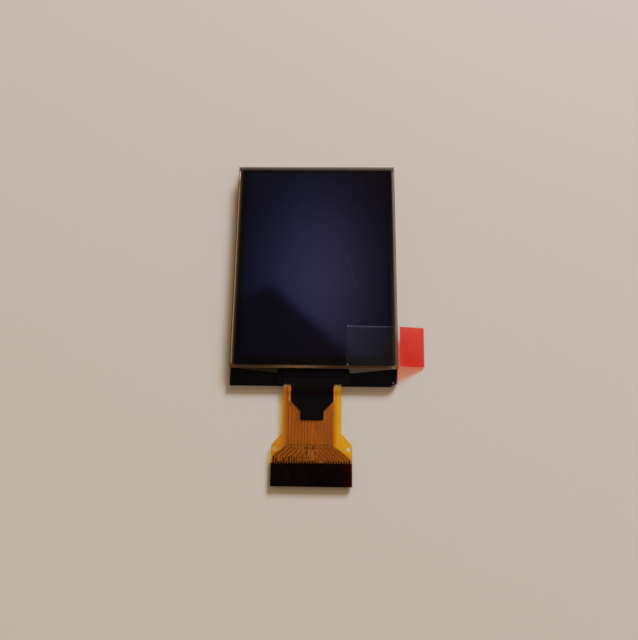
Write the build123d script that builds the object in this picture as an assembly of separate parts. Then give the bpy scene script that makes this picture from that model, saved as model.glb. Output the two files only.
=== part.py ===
from build123d import *
import math
import os

os.makedirs("parts", exist_ok=True)

# Sizes are in millimetres. The origin is the centre of the panel's rear face, +Y runs away from
# the tail and +Z is the viewing side.

# Panel outline
panel_width = 33.3
panel_length = 46.7
ledge_length = 3.6
ledge_lean = 0.2
corner_cut_width = 1.5
corner_cut_length = 0.7

# Layers of the panel, from the back to the front
rear_film_thickness = 0.10
rear_film_inset = 0.08
tft_glass_thickness = 0.50
cell_gap = 0.03
front_glass_thickness = 0.50
polariser_thickness = 0.16
protective_film_thickness = 0.06

# Cell: seal, row drivers and lit area, measured in from the front glass's edges
seal_inset = 0.12
seal_width = 0.75
cell_clearance = 0.05
active_margin_left = 1.94
active_margin_right = 2.04
active_margin_top = 1.50
active_margin_bottom = 2.20

# Polariser and the film on it
polariser_margin_left = 0.42
polariser_margin_right = 0.58
polariser_margin_top = 0.80
polariser_margin_bottom = 0.50
polariser_corner = 0.40
film_inset = 0.05

# Pull tab of the film
tab_lap = 10.1
tab_width = 7.9
tab_rise = 0.05
tab_thickness = 0.05
tab_skew = -0.8
grip_length = 4.95
grip_thickness = 0.08
grip_gap = 0.3
grip_lap = 0.5
tab_bend_radius = 5.0
grip_tip_height = 0.08

# Driver chip on the ledge
metal_thickness = 0.02
bond_film_thickness = 0.02
bond_film_margin = 0.10
chip_length = 12.6
chip_depth = 1.0
chip_thickness = 0.15
chip_gap = 0.50
chip_to_flex = 0.50

# Conductors and marks on the ledge
fan_strip_count = 8
fan_fill = 0.62
fan_edge_inset = 0.35
fan_root_inset = 0.10
fan_root_depth = 0.57
fan_tip_depth = 0.18
pad_width = 0.20
pad_edge_gap = 0.25
mark_inset_x = 1.00
mark_inset_y = 0.85
mark_size = 0.30
mark_line = 0.08

# Flexible circuit
flex_shift = -0.20
neck_width = 11.3
neck_length = 8.85
flare_length = 2.35
tail_length = 7.5
neck_round = 0.5
base_thickness = 0.04
cover_thickness = 0.03
rear_cover_gap = 0.15
bend_setback = 0.40
bend_run = 1.70
bend_drop = 0.16

# Contacts at the tail's end
contact_count = 30
contact_pitch = 0.50
contact_width = 0.35
contact_length = 4.25
contact_end_margin = 0.50
stiffener_thickness = 0.19
stiffener_overlap = 0.50
tooth_width = 0.28
tooth_length = 0.45
special_teeth = {0: 1.35, 1: 0.75, 4: 0.90, 6: 1.25, 8: 0.85, 17: 0.15, 18: 0.15, 19: 0.15, 29: 0.60}
pin_mark_length = 0.70
pin_mark_offset = 1.55
pin_mark_gap = 0.03

# Copper of the flexible circuit
copper_margin_left = 0.85
copper_margin_right = 1.55
trace_width = 0.18
paired_count = 17
paired_pitch = 0.315
pair_shift = 0.035
rear_end_gap = 0.55
fan_slope = 39.0
fan_gap_left = 1.45
fan_gap_right = 0.65
bus_width = 0.16
bus_offset = 2.75
bus_pitch = 0.60
via_diameter = 0.20
via_sides = 12
via_first = 7
via_count = 8
via_offset = 1.05

# Locating holes of the tail
hole_diameter = 0.76
hole_inset = 0.75
hole_offset = 0.70

# Black tape over the chip and the root of the flex
tape_thickness = 0.05
tape_skirt = 0.32
tape_ease = 0.04
tape_overhang = 0.80
tape_edge_gap = 0.05
tape_edge_margin = 0.43
tape_corner = 0.50
tape_neck_gap = 1.50
tape_neck_length = 2.80
tape_tip_width = 4.5
tape_tip_length = 1.75
tape_tip_corner = 0.40
tape_shoulder_round = 0.30

# Sealant beads at the panel's edge
bead_radius = 0.22
bead_gap = 0.06
bead_setback = 0.05

# Edges of the panel
right_x = panel_width / 2
left_x = -right_x
top_y = panel_length / 2
edge_y = -top_y
ledge_y = edge_y + ledge_length

# Heights of the panel's layers
ledge_z = rear_film_thickness + tft_glass_thickness
front_glass_z = ledge_z + cell_gap
polariser_z = front_glass_z + front_glass_thickness
film_z = polariser_z + polariser_thickness
tab_z = film_z + protective_film_thickness
bond_z = ledge_z + metal_thickness
chip_z = bond_z + bond_film_thickness

# Heights of the flex, counted from the underside of its base film
flex_z = chip_z + metal_thickness
copper_top = base_thickness + metal_thickness
cover_top = copper_top + cover_thickness
rear_copper_low = -metal_thickness
rear_cover_low = rear_copper_low - cover_thickness
tape_top = cover_top + tape_thickness
tail_z = flex_z - bend_drop

# Places along the flex
bond_length = ledge_length - chip_gap - chip_depth - chip_to_flex
root_y = edge_y + bond_length
bend_start_y = edge_y - bend_setback
bend_end_y = bend_start_y - bend_run
flare_start_y = edge_y - neck_length
flare_end_y = flare_start_y - flare_length
tail_end_y = flare_end_y - tail_length
cover_end_y = tail_end_y + contact_length
tail_width = (contact_count - 1) * contact_pitch + 2 * contact_end_margin
neck_left = flex_shift - neck_width / 2
neck_right = flex_shift + neck_width / 2
tail_left = flex_shift - tail_width / 2
tail_right = flex_shift + tail_width / 2

# The bend is two equal arcs that turn opposite ways
bend_turn = 2 * math.atan(bend_drop / bend_run)
bend_radius = bend_run / (2 * math.sin(bend_turn))

# The tab leaves the film level, bends down once and ends just over the table
grip_start = tab_lap + grip_gap
grip_end = grip_start + grip_length
tab_bend_start = tab_lap - polariser_margin_right - film_inset
tab_free_length = grip_end - tab_bend_start
tip_reach = tab_bend_radius - grip_thickness
tip_rise = tip_reach - (tab_z - grip_thickness - grip_tip_height)
tip_distance = math.hypot(tab_free_length, tip_rise)
tab_turn = math.atan2(tab_free_length, tip_rise) - math.acos(tip_reach / tip_distance)

# A height that clears the whole part, for cutting sheets to their outline
clear_height = 4.0


def outline(left, right, bottom, top, corner=0.0):
    """Rectangle between four edges, with rounded corners where a radius is given."""
    place = Pos((left + right) / 2, (bottom + top) / 2)
    if corner > 0:
        return place * RectangleRounded(right - left, top - bottom, corner)
    return place * Rectangle(right - left, top - bottom)


def plate(shape, low, thickness):
    """Flat sheet of an outline, from a height upwards."""
    return Pos(0, 0, low) * extrude(shape, amount=thickness)


def polygon(points):
    """Flat outline through some points."""
    return make_face(Polyline(*points, close=True))


def frustum(low_shape, low, high_shape, high):
    """Solid that narrows from one outline to another above it."""
    return loft([Pos(0, 0, low) * low_shape, Pos(0, 0, high) * high_shape], ruled=True)


def bend_point(height, turn, upper):
    """Side view point on one surface of the flex, part way round the upper or the lower arc."""
    if upper:
        reach = bend_radius + height
        return bend_start_y - reach * math.sin(turn), flex_z - bend_radius + reach * math.cos(turn)
    reach = bend_radius - height
    return bend_end_y + reach * math.sin(turn), tail_z + bend_radius - reach * math.cos(turn)


def bend_line(height, start_y, end_y):
    """Side view line of one surface of the flex: level, two arcs down, level."""
    start = bend_point(height, 0, True)
    middle = bend_point(height, bend_turn, True)
    end = bend_point(height, 0, False)
    return [
        Line((start_y, flex_z + height), start),
        ThreePointArc(start, bend_point(height, bend_turn / 2, True), middle),
        ThreePointArc(middle, bend_point(height, bend_turn / 2, False), end),
        Line(end, (end_y, tail_z + height)),
    ]


def ribbon(shape, low, high, start_y, end_y):
    """Layer of the flex between two heights, cut to an outline seen from above."""
    start_line = Line((start_y, flex_z + low), (start_y, flex_z + high))
    end_line = Line((end_y, tail_z + low), (end_y, tail_z + high))
    edges = bend_line(low, start_y, end_y) + bend_line(high, start_y, end_y) + [start_line, end_line]
    sheet = extrude(Plane.YZ * make_face(edges), amount=panel_width, both=True)
    return sheet & extrude(shape, amount=clear_height)


def strip(points, width):
    """Outline of a conductor of one width along a path, with mitred corners."""
    route = [Vector(*point) for point in points]
    runs = [(after - before).normalized() for before, after in zip(route, route[1:])]
    sides = [Vector(-run.Y, run.X) for run in runs]
    shifts = [sides[0]]
    for before, after in zip(sides, sides[1:]):
        shifts.append((before + after) / (1 + before.dot(after)))
    shifts.append(sides[-1])
    one_side = [point + shift * (width / 2) for point, shift in zip(route, shifts)]
    other_side = [point - shift * (width / 2) for point, shift in zip(route, shifts)]
    return polygon(one_side + other_side[::-1])


def row(count, pitch, middle):
    """Evenly spaced places about a middle."""
    first = middle - (count - 1) * pitch / 2
    return [first + index * pitch for index in range(count)]


# Glass and films of the panel


def tft_outline(inset):
    """Outline of the rear glass, moved in by an inset, with its broken corner."""
    return polygon(
        [
            (left_x + inset, top_y - inset),
            (right_x - inset, top_y - inset),
            (right_x - inset, ledge_y),
            (right_x - inset - ledge_lean, edge_y + inset + corner_cut_length),
            (right_x - inset - corner_cut_width, edge_y + inset),
            (left_x + inset, edge_y + inset),
        ]
    )


def front_outline(left, right, bottom, top, corner=0.0):
    """Outline set in from the front glass's four edges."""
    return outline(left_x + left, right_x - right, ledge_y + bottom, top_y - top, corner)


def make_cell():
    """Seal, row drivers and lit area in the gap between the two glasses."""
    seal_inner = seal_inset + seal_width
    border_inset = seal_inner + cell_clearance
    margins = [active_margin_left, active_margin_right, active_margin_bottom, active_margin_top]
    border_hole = [margin - cell_clearance for margin in margins]
    seal = front_outline(*[seal_inset] * 4) - front_outline(*[seal_inner] * 4)
    border = front_outline(*[border_inset] * 4) - front_outline(*border_hole)
    return {
        "frit_seal": plate(seal, ledge_z, cell_gap),
        "border_circuit": plate(border, ledge_z, cell_gap),
        "pixel_array": plate(front_outline(*margins), ledge_z, cell_gap),
    }


def make_glass():
    """The two glasses with the film behind them and the polariser and film in front."""
    margins = [polariser_margin_left, polariser_margin_right, polariser_margin_bottom, polariser_margin_top]
    film_margins = [margin + film_inset for margin in margins]
    polariser = front_outline(*margins, polariser_corner)
    film = front_outline(*film_margins, polariser_corner - film_inset)
    return {
        "rear_film": plate(tft_outline(rear_film_inset), 0, rear_film_thickness),
        "tft_glass": plate(tft_outline(0), rear_film_thickness, tft_glass_thickness),
        "front_glass": plate(front_outline(0, 0, 0, 0), front_glass_z, front_glass_thickness),
        "polariser": plate(polariser, polariser_z, polariser_thickness),
        "protective_film": plate(film, film_z, protective_film_thickness),
    }


def droop_point(height, turn):
    """Side view point on one surface of the tab, part way round its bend."""
    reach = tab_bend_radius + height
    return tab_bend_start + reach * math.sin(turn), tab_z - tab_bend_radius + reach * math.cos(turn)


def droop_line(height):
    """Side view line of one surface of the tab: level on the film, one arc down, then straight."""
    start = droop_point(height, 0)
    bend_x, bend_z = droop_point(height, tab_turn)
    return [
        Line((0, start[1]), start),
        ThreePointArc(start, droop_point(height, tab_turn / 2), (bend_x, bend_z)),
        Line((bend_x, bend_z), (grip_end, bend_z - (grip_end - bend_x) * math.tan(tab_turn))),
    ]


def tab_layer(shape, low, high):
    """Layer of the tab between two heights over the film, cut to an outline seen from above."""
    low_line = droop_line(low)
    high_line = droop_line(high)
    start_line = Line(low_line[0] @ 0, high_line[0] @ 0)
    end_line = Line(low_line[-1] @ 1, high_line[-1] @ 1)
    side_view = make_face(low_line + high_line + [start_line, end_line])
    return extrude(Plane.XZ * side_view, amount=tab_width, both=True) & extrude(shape, amount=clear_height)


def make_pull_tab():
    """Clear tape on the film with its coloured grip, both turned a little about the tape's corner."""
    tab_bottom = ledge_y + polariser_margin_bottom + film_inset + tab_rise
    place = Pos(right_x - tab_lap, tab_bottom) * Rot(0, 0, tab_skew)
    tape = outline(0, grip_start + grip_lap, 0, tab_width)
    grip = outline(grip_start, grip_end, 0, tab_width)
    return {
        "pull_tab_tape": place * tab_layer(tape, 0, tab_thickness),
        "pull_tab_grip": place * tab_layer(grip, -grip_thickness, 0),
    }


# Driver chip and conductors on the ledge

chip_top_y = ledge_y - chip_gap
chip_bottom_y = chip_top_y - chip_depth
copper_left = neck_left + copper_margin_left
copper_right = neck_right - copper_margin_right


def neck_place(index):
    """Where a conductor runs down the neck: in close pairs on the left, evenly on the right."""
    first = copper_left + trace_width / 2
    last_paired = first + paired_count * paired_pitch
    if index >= paired_count:
        share = (index - paired_count) / (contact_count - 1 - paired_count)
        return last_paired + share * (copper_right - trace_width / 2 - last_paired)
    shift = 0 if index == 0 else pair_shift * (-1) ** (index + 1)
    return first + index * paired_pitch + shift


neck_places = [neck_place(index) for index in range(contact_count)]
pad_places = [(left + right) / 2 for left, right in zip(neck_places, neck_places[1:])]


def fan_strip(side, index):
    """One bundle of fine conductors from the chip's end out to the front glass's edge."""
    root_x = chip_length / 2 - fan_root_inset
    tip_x = right_x - fan_edge_inset
    root_low = chip_top_y - fan_root_depth
    root_high = ledge_y - tape_edge_gap - fan_tip_depth
    tip_end = root_x + chip_gap
    corners = []
    for share in (index / fan_strip_count, (index + fan_fill) / fan_strip_count):
        root_y_at = root_low + share * (root_high - root_low)
        tip_x_at = tip_x + share * (tip_end - tip_x)
        corners.append(((root_x, root_y_at), (tip_x_at, ledge_y)))
    (root_a, tip_a), (root_b, tip_b) = corners
    return polygon([(side * x, y) for x, y in (root_a, tip_a, tip_b, root_b)])


def make_alignment_marks():
    """Cross at the cut corner and ring at the other, for placing the chip and the flex."""
    cross_place = Pos(right_x - mark_inset_x, edge_y + mark_inset_y)
    ring_place = Pos(left_x + mark_inset_x, edge_y + mark_inset_y)
    cross = Rectangle(mark_size, mark_line) + Rectangle(mark_line, mark_size)
    ring = Circle(mark_size / 2) - Circle(mark_size / 2 - mark_line)
    return plate(cross_place * cross + ring_place * ring, ledge_z, metal_thickness)


def make_ledge():
    """Chip, its bond film, the ledge's metal and the film that bonds the flex."""
    half = chip_length / 2
    chip = outline(-half, half, chip_bottom_y, chip_top_y)
    spread = half + bond_film_margin
    chip_film = outline(-spread, spread, chip_bottom_y - bond_film_margin, chip_top_y + bond_film_margin)
    fans = [fan_strip(side, index) for side in (-1, 1) for index in range(fan_strip_count)]
    pad_low = edge_y + pad_edge_gap
    pads = [outline(x - pad_width / 2, x + pad_width / 2, pad_low, chip_bottom_y) for x in pad_places]
    flex_film = outline(neck_left, neck_right, edge_y + bond_film_margin, root_y)
    return {
        "driver_chip": plate(chip, chip_z, chip_thickness),
        "chip_bond_film": plate(chip_film, bond_z, bond_film_thickness),
        "fanout_traces": plate(Sketch() + fans, ledge_z, metal_thickness),
        "bond_pads": plate(Sketch() + pads, ledge_z, metal_thickness),
        "alignment_marks": make_alignment_marks(),
        "flex_bond_film": plate(flex_film, bond_z, bond_film_thickness),
    }


# Flexible circuit

contact_places = row(contact_count, contact_pitch, flex_shift)
hole_places = [(x, flare_end_y - hole_offset) for x in (tail_left + hole_inset, tail_right - hole_inset)]


def flex_outline(start_y, end_y):
    """Neck, flare and tail between two places along the flex, with the two locating holes."""
    right_side = [(neck_right, flare_start_y), (tail_right, flare_end_y)]
    left_side = [(tail_left, flare_end_y), (neck_left, flare_start_y)]
    points = [(neck_right, start_y), *right_side, (tail_right, end_y)]
    points += [(tail_left, end_y), *left_side, (neck_left, start_y)]
    rounds = [0, neck_round, neck_round, 0, 0, neck_round, neck_round, 0]
    shape = make_face(FilletPolyline(*points, radius=rounds, close=True))
    return shape - [Pos(*place) * Circle(hole_diameter / 2) for place in hole_places]


def tooth_end(index):
    """How far a contact's plating runs under the cover film."""
    return cover_end_y + special_teeth.get(index, tooth_length)


def trace_outline(neck_x, contact_x, end_y, width):
    """One conductor: down the neck, slanting out, then straight on to its end."""
    gap = fan_gap_left if contact_x < neck_x else fan_gap_right
    fan_low = cover_end_y + gap
    fan_high = fan_low + abs(contact_x - neck_x) * math.tan(math.radians(fan_slope))
    return strip([(neck_x, root_y), (neck_x, fan_high), (contact_x, fan_low), (contact_x, end_y)], width)


def contact_outline(index):
    """Bare contact with its tooth under the cover film."""
    x = contact_places[index]
    tooth = outline(x - tooth_width / 2, x + tooth_width / 2, cover_end_y, tooth_end(index))
    return tooth + outline(x - contact_width / 2, x + contact_width / 2, tail_end_y, cover_end_y)


def make_front_copper():
    """Conductors under the cover film and the bare contacts at the tail's end."""
    routes = zip(neck_places, contact_places, [tooth_end(index) for index in range(contact_count)])
    traces = Sketch() + [trace_outline(*route, trace_width) for route in routes]
    contacts = Sketch() + [contact_outline(index) for index in range(contact_count)]
    low = tail_z + base_thickness
    return {
        "flex_traces": ribbon(traces, base_thickness, copper_top, root_y, cover_end_y),
        "contact_fingers": plate(contacts, low, metal_thickness),
    }


def via_places():
    """Plated holes: one row over the contacts and one pair on the nearer cross conductor."""
    row_y = cover_end_y + via_offset
    last = min(via_first + via_count, contact_count)
    places = [(contact_places[index], row_y) for index in range(via_first, last)]
    pair = [neck_places[contact_count // 2 - 2], neck_places[contact_count // 2 + 1]]
    return places + [(x, cover_end_y + bus_offset) for x in pair]


def make_rear_copper():
    """Conductors on the back of the base film, between the front ones, with cross conductors."""
    bus_low = cover_end_y + bus_offset
    bus_high = bus_low + bus_pitch
    end_y = cover_end_y + rear_end_gap
    ends = [(left + right) / 2 for left, right in zip(contact_places, contact_places[1:])]
    leads = [trace_outline(x, end_x, end_y, pad_width) for x, end_x in zip(pad_places, ends)]
    half = bus_width / 2
    buses = [outline(copper_left, copper_right, y - half, y + half) for y in (bus_low, bus_high)]
    row_y = cover_end_y + via_offset
    last = min(via_first + via_count, contact_count) - 1
    link_ends = contact_places[via_first] - half, contact_places[last] + half
    link = outline(*link_ends, row_y - half, row_y + half)
    copper = Sketch() + leads + buses + link
    return ribbon(copper, rear_copper_low, 0, root_y, end_y)


def make_flex():
    """Base film, copper on both sides, cover films, contacts, stiffener and plated holes."""
    vias = [Pos(*place) * RegularPolygon(via_diameter / 2, via_sides) for place in via_places()]
    rear_start_y = edge_y - rear_cover_gap
    stiffener = outline(tail_left, tail_right, tail_end_y, cover_end_y + stiffener_overlap)
    stiffener_z = tail_z + rear_cover_low - stiffener_thickness
    mark_left = contact_places[-1] + contact_width / 2 + pin_mark_gap
    mark_low = tail_end_y + pin_mark_offset
    mark = outline(mark_left, tail_right, mark_low, mark_low + pin_mark_length)
    base = ribbon(flex_outline(root_y, tail_end_y) - vias, 0, base_thickness, root_y, tail_end_y)
    cover = ribbon(flex_outline(root_y, cover_end_y), copper_top, cover_top, root_y, cover_end_y)
    rear_shape = flex_outline(rear_start_y, tail_end_y)
    rear_cover = ribbon(rear_shape, rear_cover_low, rear_copper_low, rear_start_y, tail_end_y)
    parts = {
        "flex_base": base,
        "flex_cover_film": cover,
        "flex_rear_traces": make_rear_copper(),
        "flex_rear_cover_film": rear_cover,
        "vias": plate(Sketch() + vias, tail_z, base_thickness),
        "tail_stiffener": plate(stiffener, stiffener_z, stiffener_thickness),
        "pin_one_mark": plate(mark, tail_z + base_thickness, metal_thickness),
    }
    return parts | make_front_copper()


# Black tape and sealant


def blister(left, right, bottom, top, height, grow):
    """Raised field over a chip or a film's end: its skirt leans in from the ledge to the height."""
    foot = tape_skirt + grow
    low_shape = outline(left - foot, right + foot, bottom - foot, top + foot)
    high_shape = outline(left - grow, right + grow, bottom - grow, top + grow)
    return frustum(low_shape, bond_z, high_shape, height)


def tape_neck():
    """Outline of the tape's tongue on the flex: neck, slanted shoulders and rounded tip."""
    half_neck = neck_width / 2 - tape_neck_gap
    half_tip = tape_tip_width / 2
    shoulder_y = edge_y - tape_neck_length
    tip_top_y = shoulder_y - (half_neck - half_tip)
    tip_y = tip_top_y - tape_tip_length
    start_y = root_y - tape_ease
    right_side = [(half_neck, start_y), (half_neck, shoulder_y), (half_tip, tip_top_y), (half_tip, tip_y)]
    left_side = [(-x, y) for x, y in reversed(right_side)]
    shoulder = tape_shoulder_round
    rounds = [0, shoulder, shoulder, tape_tip_corner, tape_tip_corner, shoulder, shoulder, 0]
    shape = make_face(FilletPolyline(*right_side, *left_side, radius=rounds, close=True))
    return Pos(flex_shift, 0) * shape, tip_y


def make_tape():
    """Tape draped over the chip and the flex's root, with a tongue that follows the flex's bend."""
    half = chip_length / 2
    reach = half + tape_overhang
    head = outline(-reach, reach, edge_y + tape_edge_margin, ledge_y - tape_edge_gap, tape_corner)
    chip_top_z = chip_z + chip_thickness
    flex_top_z = flex_z + cover_top
    chip_field = [-half, half, chip_bottom_y, chip_top_y]
    flex_field = [neck_left, neck_right, edge_y - clear_height, root_y]
    outer_chip = blister(*chip_field, chip_top_z + tape_thickness, tape_ease + tape_thickness)
    outer_flex = blister(*flex_field, flex_top_z + tape_thickness, tape_ease + tape_thickness)
    inner_chip = blister(*chip_field, chip_top_z, tape_ease)
    inner_flex = blister(*flex_field, flex_top_z, tape_ease)
    crown = plate(head, bond_z, tape_thickness) + outer_chip + outer_flex
    crown = crown & plate(head, bond_z, clear_height)
    crown = crown - inner_chip - inner_flex
    shape, tip_y = tape_neck()
    return crown + ribbon(shape, cover_top, tape_top, root_y, tip_y)


def bead(side):
    """Low drop of sealant on the flex beside the tape, at the panel's edge."""
    inner = neck_width / 2 - tape_neck_gap + bead_gap
    outer = neck_width / 2
    middle = flex_shift + side * (inner + outer) / 2
    straight = outer - inner - 2 * bead_radius
    place = Pos(middle, edge_y + bead_setback, flex_z + cover_top)
    drop = Rot(0, 90, 0) * Cylinder(bead_radius, straight)
    for end in (-1, 1):
        drop += Pos(end * straight / 2, 0, 0) * Sphere(bead_radius)
    upper_half = plate(Rectangle(2 * outer, 4 * bead_radius), 0, 2 * bead_radius)
    return place * (drop & upper_half)


def make_trim():
    """Black tape and the two sealant beads."""
    return {"shield_tape": make_tape(), "edge_sealant": Part() + [bead(-1), bead(1)]}


pieces = make_glass() | make_cell() | make_pull_tab() | make_ledge() | make_flex() | make_trim()
for name, piece in pieces.items():
    export_step(piece, f"parts/{name}.step")
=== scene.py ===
"""The looks of a small bare display panel with its flexible circuit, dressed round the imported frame."""
import logging
import math
from dataclasses import dataclass, field
from enum import Enum
from typing import Any, Sequence

import bmesh
import bpy
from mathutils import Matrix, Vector, noise


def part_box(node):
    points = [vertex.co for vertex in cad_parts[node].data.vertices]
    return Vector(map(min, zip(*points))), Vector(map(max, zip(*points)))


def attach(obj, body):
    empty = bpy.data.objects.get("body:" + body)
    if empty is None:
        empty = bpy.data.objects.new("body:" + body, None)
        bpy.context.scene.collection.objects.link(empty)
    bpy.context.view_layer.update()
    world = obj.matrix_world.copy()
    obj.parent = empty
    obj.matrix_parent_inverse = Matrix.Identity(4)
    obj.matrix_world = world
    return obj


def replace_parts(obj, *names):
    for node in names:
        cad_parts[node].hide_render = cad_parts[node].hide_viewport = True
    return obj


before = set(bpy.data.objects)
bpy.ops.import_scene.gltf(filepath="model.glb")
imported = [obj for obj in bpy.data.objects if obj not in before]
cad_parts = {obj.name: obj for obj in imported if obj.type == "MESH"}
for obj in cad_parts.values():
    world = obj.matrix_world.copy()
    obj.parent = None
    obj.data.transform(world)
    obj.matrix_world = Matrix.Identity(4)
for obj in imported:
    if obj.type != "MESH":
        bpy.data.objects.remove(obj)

Colour = tuple[float, float, float]
Pair = tuple[float, float]
Socket = bpy.types.NodeSocket

MM = 0.001
BODY = "root"
BLACK: Colour = (0.0, 0.0, 0.0)
FINER_LAYERS = 0.55
log = logging.getLogger("panel")


class Value:
    """A number in a shader, which Python's own operators work on."""

    def __init__(self, graph: "Graph", socket: Socket) -> None:
        """Wraps one output socket of a graph."""
        self.graph = graph
        self.socket = socket

    def _math(self, operation: str, first: Any, second: Any) -> "Value":
        """Adds a Math node.

        Args:
            operation: The Math node's operation.
            first: A Value or a number.
            second: A Value or a number.

        Returns:
            The node's result.
        """
        made = self.graph.add("ShaderNodeMath", {"operation": operation}, {0: first, 1: second})
        return Value(self.graph, made.outputs[0])

    def __add__(self, other: Any) -> "Value":
        """self + other."""
        return self._math("ADD", self, other)

    def __radd__(self, other: Any) -> "Value":
        """other + self."""
        return self._math("ADD", other, self)

    def __sub__(self, other: Any) -> "Value":
        """self - other."""
        return self._math("SUBTRACT", self, other)

    def __rsub__(self, other: Any) -> "Value":
        """other - self."""
        return self._math("SUBTRACT", other, self)

    def __mul__(self, other: Any) -> "Value":
        """self * other."""
        return self._math("MULTIPLY", self, other)

    def __rmul__(self, other: Any) -> "Value":
        """other * self."""
        return self._math("MULTIPLY", other, self)

    def __truediv__(self, other: Any) -> "Value":
        """self / other."""
        return self._math("DIVIDE", self, other)

    def __abs__(self) -> "Value":
        """self without its sign."""
        return self._math("ABSOLUTE", self, 0.0)

    def most(self, other: Any) -> "Value":
        """The larger of self and other."""
        return self._math("MAXIMUM", self, other)

    def wave(self) -> "Value":
        """The sine of self, in radians."""
        return self._math("SINE", self, 0.0)

    def root(self) -> "Value":
        """The square root of self."""
        return self._math("SQRT", self, 0.0)

    def power_of_e(self) -> "Value":
        """The number e to the power of self."""
        return self._math("EXPONENT", self, 0.0)

    def rise(self, low: float, high: float, bottom: float = 0.0, top: float = 1.0) -> "Value":
        """A soft step.

        Args:
            low: Where the step starts.
            high: Where the step ends.
            bottom: The result up to low.
            top: The result from high on.

        Returns:
            The step's height at self.
        """
        made = self.graph.add(
            "ShaderNodeMapRange",
            {"interpolation_type": "SMOOTHSTEP"},
            {"Value": self, "From Min": low, "From Max": high, "To Min": bottom, "To Max": top},
        )
        return Value(self.graph, made.outputs["Result"])

    def fall(self, low: float, high: float) -> "Value":
        """A soft step down, from 1 at low to 0 at high."""
        return self.rise(low, high, 1.0, 0.0)

    def between(self, low: float, high: float, soft: float) -> "Value":
        """A soft mask that is 1 between low and high.

        Args:
            low: The lower limit.
            high: The upper limit.
            soft: How wide each edge is.

        Returns:
            The mask.
        """
        half = soft / 2
        return self.rise(low - half, low + half) * (1 - self.rise(high - half, high + half))

    def near(self, middle: float, width: float) -> "Value":
        """A soft line that is 1 at middle and 0 from width away.

        Args:
            middle: Where the line runs.
            width: How far it reaches on each side.

        Returns:
            The mask.
        """
        return abs(self - middle).fall(0.0, width)


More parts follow.
